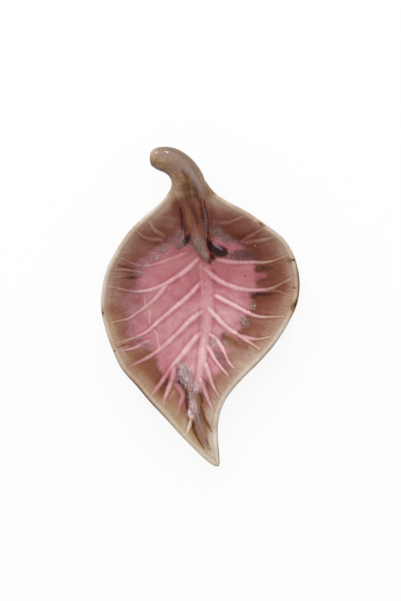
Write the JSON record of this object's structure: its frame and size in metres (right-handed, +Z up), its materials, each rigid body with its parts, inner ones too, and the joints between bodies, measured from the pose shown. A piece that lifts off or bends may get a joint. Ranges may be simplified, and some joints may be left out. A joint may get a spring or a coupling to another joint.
{
  "type": "leaf-shaped dish",
  "caption": "Leaf-shaped ceramic dish with a pointed tip, raised veins inside, and a curled stem as its handle.",
  "frame": {"origin": "under the middle of the whole dish's box, on the surface that the foot ring stands on", "axes": "+Y from the leaf's tip to its stem, +Z up, +X to the right seen from above with the stem away from the viewer"},
  "size_m": [0.142, 0.228, 0.0444],
  "materials": {
    "rose_brown_glaze": "glossy",
    "olive_brown_glaze": "glossy",
    "bare_clay": "matte"
  },
  "bodies": {
    "root": {"leaf_dish": "rose_brown_glaze", "stem_handle": "olive_brown_glaze", "foot_ring": "bare_clay"}
  },
  "joints": []
}
